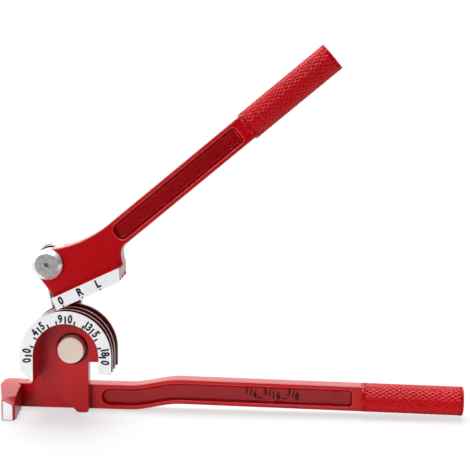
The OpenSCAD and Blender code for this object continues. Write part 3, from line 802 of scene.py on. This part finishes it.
def makeKnurl(name, first, last):
    radius, touch = knurl["grooveRadius"], layout["touch"]
    rows = round((last - first) / knurl["along"])
    bpy.ops.object.select_all(action="DESELECT")
    bpy.ops.mesh.primitive_cylinder_add(vertices=knurl["around"], radius=radius, depth=last - first,
                                        end_fill_type="NOTHING", location=((first + last) / 2, 0, 0),
                                        rotation=(0, radians(90), 0))
    piece = bpy.context.object
    piece.name = name
    bpy.ops.object.transform_apply(location=True, rotation=True, scale=True)
    pickEdges(piece, lambda a, b: abs(a.x - b.x) > 1)
    bpy.ops.mesh.subdivide(number_cuts=rows - 1)
    bpy.ops.object.mode_set(mode="OBJECT")
    grid = len(piece.data.vertices)
    editAll(piece)
    bpy.ops.mesh.poke()
    bpy.ops.object.mode_set(mode="OBJECT")
    clearPick(piece, "EDGE")
    points = piece.data.vertices
    for point in points:
        size = (point.co.y ** 2 + point.co.z ** 2) ** 0.5
        point.co.y, point.co.z = point.co.y * radius / size, point.co.z * radius / size
    for edge in piece.data.edges:  # the square grid goes, so that its poked centres leave diamonds
        a, b = edge.vertices
        inside = all(first + touch < points[k].co.x < last - touch for k in (a, b))
        lengthwise = abs(points[a].co.x - points[b].co.x) > 1
        edge.select = a < grid and b < grid and (inside or lengthwise)
    bpy.ops.object.mode_set(mode="EDIT")
    bpy.ops.mesh.dissolve_edges(use_verts=False)
    bpy.ops.mesh.select_mode(type="FACE")
    bpy.ops.mesh.select_all(action="SELECT")
    bpy.ops.mesh.normals_make_consistent(inside=False)
    bpy.ops.mesh.inset(thickness=knurl["land"], depth=0, use_individual=True)
    bpy.ops.mesh.inset(thickness=knurl["flank"], depth=knurl["height"], use_individual=True)
    bpy.ops.mesh.select_all(action="SELECT")
    bpy.ops.mesh.fill_holes(sides=0)
    bpy.ops.object.mode_set(mode="OBJECT")
    smooth(piece, knurl["crease"], False)
    return piece


def makeGrip(name, grip, body, node):
    length, mouth = grip["length"], sleeve["mouth"]
    piece = makeKnurl(name, knurl["fromMouth"], length - knurl["fromEnd"])
    turned = (("core", knurl["grooveRadius"], mouth, length - sleeve["coreStop"], sleeve["coreEdge"]),
              ("collar", sleeve["collarRadius"], mouth, sleeve["collarTo"], sleeve["collarEdge"]),
              ("end", sleeve["endRadius"], length - sleeve["endLength"], length, sleeve["endEdge"]))
    plain = []
    for part, radius, first, last, edge in turned:
        made = rod(part, radius, first, last)
        setPlace(made, (0, 0, -90))
        roundEdges(made, edge, 4)
        smooth(made, 50)
        plain.append(made)
    joinTo(piece, plain)
    setPlace(piece, (0, -grip["lean"], 0), grip["mouth"])
    settle(piece, body, [gripEnamel], [node], body == "lever")


makeGrip("lowerGrip", lowerGrip, "base", "lower_grip")
makeGrip("upperGrip", upperGrip, "lever", "upper_grip")
print("grips knurled")


# lever: head, bar with pockets and the boss behind its pin; modelled with the shoe level and the pin at the origin

shoe = {"left": -6.2, "right": 43.0, "face": -29.1, "slant": 3.6, "slantTurn": 24}  # the index has the same outline
lever = {
    "front": 8.0, "back": 23.0, "middle": 15.5, "half": 8.5, "rise": 14.6, "end": (154.5, 26.1), "tips": 3.4,
    "edge": 1.2, "headLow": -20.8, "noseRadius": 9.6, "noseArc": (78, 190, 8), "chinAt": -107.1, "chinReach": 8.3,
    "crownFrom": -113.2, "crownPull": (20, 2), "crownTo": 20,
    "pocketFrom": -109.2, "pocketTo": -6.0, "pocketCorners": (4.2, 2.4), "ejectors": ((67.4, 2.9), (140.6, 22.5)),
    "barFrom": 30, "noseBand": (9, 11), "brightTurn": (45, 185),  # where the paint changes
}
boss = {"radius": 10.2, "back": 33.02, "into": 1.0, "chamfer": 1.5, "wall": 7.75}


def alongLever(s, t):
    # a point s along the bar from its grip end and t across it
    a = radians(lever["rise"])
    return lever["end"][0] + s * cos(a) - t * sin(a), lever["end"][1] + s * sin(a) + t * cos(a)


def leverOutline():
    r, half, low = lever["noseRadius"], lever["half"], lever["headLow"]
    chin = alongLever(lever["chinAt"], -half)
    fillet = [(chin[0] - lever["chinReach"] * sin(radians(a)), chin[1] - (chin[1] - low) * (1 - cos(radians(a))))
              for a in range(90, -1, -9)]
    top, pull, turn = alongLever(lever["crownFrom"], half), lever["crownPull"], radians(lever["crownTo"])
    nose = (r * sin(turn), r * cos(turn))
    crown = [tuple(nose[i] * k * k + 2 * pull[i] * k * (1 - k) + top[i] * (1 - k) * (1 - k) for i in (0, 1))
             for k in [j / 12 for j in range(13)]]
    tips = [alongLever(lever["tips"], -half), alongLever(lever["tips"], half)]
    return [(shoe["left"], low)] + fillet + tips + crown + onCircle(r, range(*lever["noseArc"])) + [(-r, -r / 2)]


def makeBoss():
    piece = rod("boss", boss["radius"], lever["back"] - boss["into"], boss["back"])
    carve(piece, rod("bushSeat", layout["bushSeat"], 10, 40))
    pickEdges(piece, lambda a, b: min(a.y, b.y) > boss["back"] - layout["touch"] and
              min(offAxis(a), offAxis(b)) > boss["wall"])
    bpy.ops.mesh.bevel(offset=boss["chamfer"], segments=1, affect="EDGES")
    bpy.ops.object.mode_set(mode="OBJECT")
    paint(piece, redEnamel, brightLink, paintedDeepShade)
    for face in piece.data.polygons:  # turned bright round its side, with painted shade on its chamfer and behind the head
        if offAxis(face.center) > boss["wall"] or face.normal.y < -0.9:
            face.material_index = 1 if abs(face.normal.y) < 0.1 else 2
    return piece


def makeLever():
    piece = slab("leverHandle", leverOutline(), lever["front"], lever["back"])
    first, last, half = lever["pocketFrom"], lever["pocketTo"], pocket["half"]
    wide, small = lever["pocketCorners"]
    corners = [(first, half, wide), (first, -half, wide), (last, -half, small), (last, half, small)]
    sinkPockets(piece, [alongLever(s, t) for s, t in rounded(corners)], lever["front"], lever["back"])
    roundEdges(piece, lever["edge"])
    endX, endZ = lever["end"]
    carve(piece, sleeveSpace((endX, lever["middle"], endZ), lever["rise"]))
    bossPiece = makeBoss()
    paint(piece, redEnamel, paintedPocketShade, brightLink, paintedRimHighlight)
    rise = radians(lever["rise"])
    (near, far), (least, most) = lever["noseBand"], [radians(a) for a in lever["brightTurn"]]
    for face in piece.data.polygons:  # painted shade in the pocket, a painted highlight on its rim, and the nose turned bright with the boss
        x, y, z = face.center
        onNose = near < offAxis(face.center) < far and face.normal.y > -0.7 and least < atan2(z, x) % (2 * pi) < most
        rimHighlight = onRim(face, abs((z - endZ) * cos(rise) - (x - endX) * sin(rise)), lever["front"])
        pocketShade = inPocketShade(face, lever["front"], lever["back"])
        face.material_index = 2 if onNose else 0 if x < lever["barFrom"] else 3 if rimHighlight else 1 if pocketShade else 0
    joinTo(piece, [bossPiece])
    smooth(piece)
    settle(piece, "lever", [], ["lever_handle"], True)
    rings = [ejectorRing((x, lever["front"] + pocket["depth"], z)) for x, z in lever["ejectors"]]
    joinTo(rings[0], rings[1:])
    rings[0].name = "leverEjectorMarks"
    settle(rings[0], "lever", [redEnamel], onLever=True)


makeLever()
print("lever modelled")


# forming shoe: grooved block under the lever's head, with a slanted right end

def makeShoe():
    block = {"headLow": -20.82, "headFront": 7.98, "headBack": 23.02, "lip": -19.2, "frontTop": -20.8,
             "tubeLine": -30.8, "plateTop": -9.8, "screws": (12.0, 32.0), "screwZ": -15.3, "screwSeat": 3.7,
             "screwFloor": 26.62, "corner": ((-44, -20.3), (2.9, -20.3), (2.9, -5), (-44, -5)), "edge": 0.55}
    front, back, face, steps = layout["castFront"], layout["wheelBack"], shoe["face"], layout["grooveSteps"]
    section = [(front, face)]
    for depth, radius in layout["grooves"]:
        over = face - block["tubeLine"]
        opening = atan2(over, (radius ** 2 - over ** 2) ** 0.5)
        for k in range(steps + 1):
            a = pi - opening - (pi - 2 * opening) * k / steps
            section.append((depth + radius * cos(a), block["tubeLine"] + radius * sin(a)))
    section += [(back, face), (back, block["plateTop"]), (block["headBack"], block["plateTop"]),
                (block["headBack"], block["headLow"]), (block["headFront"], block["headLow"]),
                (block["headFront"], block["lip"]), (front, block["frontTop"])]
    piece = ringOf("formingShoe", [(shoe["left"], y, z) for y, z in section])
    editAll(piece)
    bpy.ops.mesh.extrude_region_move(TRANSFORM_OT_translate={"value": (shoe["right"] - shoe["left"], 0, 0)})
    bpy.ops.mesh.select_all(action="SELECT")
    bpy.ops.mesh.normals_make_consistent(inside=False)
    turn = radians(shoe["slantTurn"])
    bpy.ops.mesh.bisect(plane_co=(shoe["right"] - shoe["slant"], 0, face), plane_no=(cos(turn), 0, -sin(turn)),
                        use_fill=True, clear_outer=True)
    doneEditing()
    carve(piece, slab("corner", block["corner"], 22, 40))  # room for the boss
    for x in block["screws"]:
        carve(piece, rod("screwSeat", block["screwSeat"], block["screwFloor"], 40, (x, block["screwZ"]), 48))
    roundEdges(piece, block["edge"])
    smooth(piece)
    settle(piece, "lever", [redEnamel], ["forming_shoe"], True)


makeShoe()
print("shoe modelled")


# link between the pins

def makeLink():
    link = {"front": 34.02, "back": 42.02, "endRadius": 11.7, "endArc": (59, 302, 6), "length": 60.8, "turn": 102.0,
            "pinSeat": 5.02, "edge": 1.2}
    length, lean = link["length"], radians(link["turn"])
    firstEnd = onCircle(link["endRadius"], range(*link["endArc"]))
    outline = firstEnd + [(length - x, -z) for x, z in firstEnd]
    outline = [(x * cos(lean) - z * sin(lean), x * sin(lean) + z * cos(lean)) for x, z in outline]
    piece = slab("linkPlate", outline, link["front"], link["back"])
    pinAt = (length * cos(lean), length * sin(lean))
    carve(piece, rod("bushSeat", layout["bushSeat"], 30, 50))
    carve(piece, rod("pinSeat", link["pinSeat"], 30, 50, pinAt))
    roundEdges(piece, link["edge"], 1)
    smooth(piece)
    settle(piece, "link", [brightLink], ["link"])
    return pinAt


leverPinAt = makeLink()
print("link modelled")


# pins, turned: head with a worked rim, shank, ring groove and tip

shank = {"radius": 5.0, "groove": 4.08, "grooveFront": 43.07, "grooveBack": 44.17, "tip": 45.72, "edge": 0.35}
centrePin = {"radius": 8.9, "front": 17.52, "back": 26.52, "rim": 0.9, "rimSteps": 3, "drill": 0.1}
leverPin = {"radius": 9.9, "front": 2.6, "back": 7.0, "rim": 2.2, "rimSteps": 1, "drill": 1.0}
pinFace = {"ring": 0.5, "drillRadius": 1.5, "drillSlope": 0.6, "drillDark": 1.4, "chamfer": (-0.95, -0.3)}


def makePin(name, pin, at, finishes, body, node):
    front, back, touch = pin["front"], pin["back"], layout["touch"]
    head = rod(name, pin["radius"], front, back, at)
    pickEdges(head, lambda a, b: a.y < front + touch and b.y < front + touch)
    bpy.ops.mesh.bevel(offset=pin["rim"], segments=pin["rimSteps"], affect="EDGES")
    bpy.ops.object.mode_set(mode="OBJECT")
    pickFaces(head, lambda c, n: n.y < -0.999)
    bpy.ops.mesh.inset(thickness=pinFace["ring"])
    bpy.ops.mesh.inset(thickness=pin["radius"] - pin["rim"] - pinFace["ring"] - pinFace["drillRadius"])
    bpy.ops.mesh.inset(thickness=pinFace["drillSlope"], depth=-pin["drill"])
    doneEditing()
    turned = (("shank", shank["radius"], back - 1, shank["grooveFront"]),
              ("neck", shank["groove"], shank["grooveFront"] - 1, shank["grooveBack"] + 1),
              ("tip", shank["radius"], shank["grooveBack"], shank["tip"]))
    parts = []
    for part, radius, first, last in turned:
        made = rod(part, radius, first, last, at, 64)
        roundEdges(made, shank["edge"], 2)
        parts.append(made)
    joinTo(head, parts)
    smooth(head, 30)
    paint(head, *finishes)
    if len(finishes) > 1:  # a flat chamfer is polished, and the centre drill's hole gets painted shade
        least, most = pinFace["chamfer"]
        for face in head.data.polygons:
            x, y, z = face.center
            off = ((x - at[0]) ** 2 + (z - at[1]) ** 2) ** 0.5
            if y < back:
                face.material_index = 2 if off < pinFace["drillDark"] else 1 if least < face.normal.y < most else 0
    settle(head, body, [], [node])


makePin("centrePin", centrePin, (0, 0), [nickelPin], "base", "centre_pin")
makePin("leverPin", leverPin, leverPinAt, [faceSteel, polishedRim, paintedDrillShade], "link", "lever_pin")
print("pins turned")


# printed plates and their marks

inkFront = layout["plateFront"] + layout["inkHeight"]     # where the plates begin, behind the ink
inkMiddle = layout["plateFront"] + layout["inkHeight"] / 2


def makePlate(name, outline, body, node):
    plate = slab(name, outline, inkFront, layout["castFront"])
    roundEdges(plate, layout["plateEdge"], 2)
    smooth(plate)
    settle(plate, body, [whiteEnamel], [node], body == "lever")


def makeTick(left, right, low, high):
    return slab("tick", [(left, low), (right, low), (right, high), (left, high)], layout["plateFront"], inkFront)


def makeDial():
    dial = {"steps": 64, "corner": 1.0, "slantCorner": 0.8,
            "letterSize": 7.3, "letterWidth": 0.78, "letterWeight": 0.36,
            "longTick": (21.75, 26.7, 1.2), "shortTick": (21.65, 24.2, 1.15),  # inner end, outer end and width
            "numbers": ((0, 25.4, ((-3.2, "0"), (3.2, "0"))), (45, 25.0, ((-3.3, "4"), (3.2, "5"))),
                        (90, 24.8, ((-3.3, "9"), (3.1, "0"))), (135, 25.0, ((-5.2, "1"), (-2.7, "3"), (3.3, "5"))),
                        (180, 26.0, ((-4.9, "1"), (-2.2, "8"), (3.4, "0"))))}  # degrees, radius, offsets and digits
    outer, inside, steps, corner = rim["radius"], rim["inside"], dial["steps"], dial["corner"]
    left, right = -rim["leftRun"], -rim["rightRun"]
    outline = [(outer * cos(pi * k / steps), outer * sin(pi * k / steps)) for k in range(steps + 1)]
    outline += rounded([(-outer, -1, 0), (-outer, left, corner),
                        (-inside, left - outer + inside, dial["slantCorner"]), (-inside, -1, 0)])
    outline += [(inside * cos(pi * k / steps), inside * sin(pi * k / steps)) for k in range(steps, -1, -1)]
    outline += rounded([(inside, -1, 0), (inside, right, corner), (outer, right, corner), (outer, -1, 0)])
    makePlate("dialPlate", outline, "base", "dial_plate")
    marks = []
    for degrees in range(0, 181, 15):
        inner, reach, width = dial["longTick"] if degrees % 45 == 0 else dial["shortTick"]
        tick = makeTick(-width / 2, width / 2, inner, reach)
        setPlace(tick, (0, degrees - 90, 0))
        marks.append(tick)
    for degrees, radius, digits in dial["numbers"]:
        for offset, digit in digits:
            angle = 180 - degrees - offset / radius * 180 / pi
            word = markText(digit, dial["letterSize"], dial["letterWidth"], dial["letterWeight"])
            x, z = radius * cos(radians(angle)), radius * sin(radians(angle))
            marks.append(setFlat(word, x, z, angle - 90, inkMiddle))
    joinTo(marks[0], marks[1:])
    marks[0].name = "dialMarks"
    settle(marks[0], "base", [blackInk])


def makeIndex():
    index = {"top": -20.8, "corner": 0.5, "slantCorner": 1.0, "letters": ((-1.0, "0"), (12.64, "R"), (25.72, "L")),
             "letterZ": -24.7, "letterSize": 7.0, "letterWidth": 0.85, "letterWeight": 0.38,
             "ticks": (-0.76, 12.76, 25.81), "tickWidth": 0.95, "tickFrom": 0.05, "tickTo": 1.2}
    left, face, corner = shoe["left"], shoe["face"], index["corner"]
    low = shoe["right"] - shoe["slant"]
    high = min(shoe["right"], low + (index["top"] - face) * tan(radians(shoe["slantTurn"])))
    outline = rounded([(left, face, corner), (low, face, index["slantCorner"]), (high, index["top"], corner),
                       (left, index["top"], corner)])
    makePlate("indexPlate", outline, "lever", "index_plate")
    half = index["tickWidth"] / 2
    marks = [makeTick(x - half, x + half, face + index["tickFrom"], face + index["tickTo"]) for x in index["ticks"]]
    for x, letter in index["letters"]:
        word = markText(letter, index["letterSize"], index["letterWidth"], index["letterWeight"])
        marks.append(setFlat(word, x, index["letterZ"], 0, inkMiddle))
    joinTo(marks[0], marks[1:])
    marks[0].name = "indexMarks"
    settle(marks[0], "lever", [blackInk], onLever=True)


makeDial()
makeIndex()
print("plates printed")
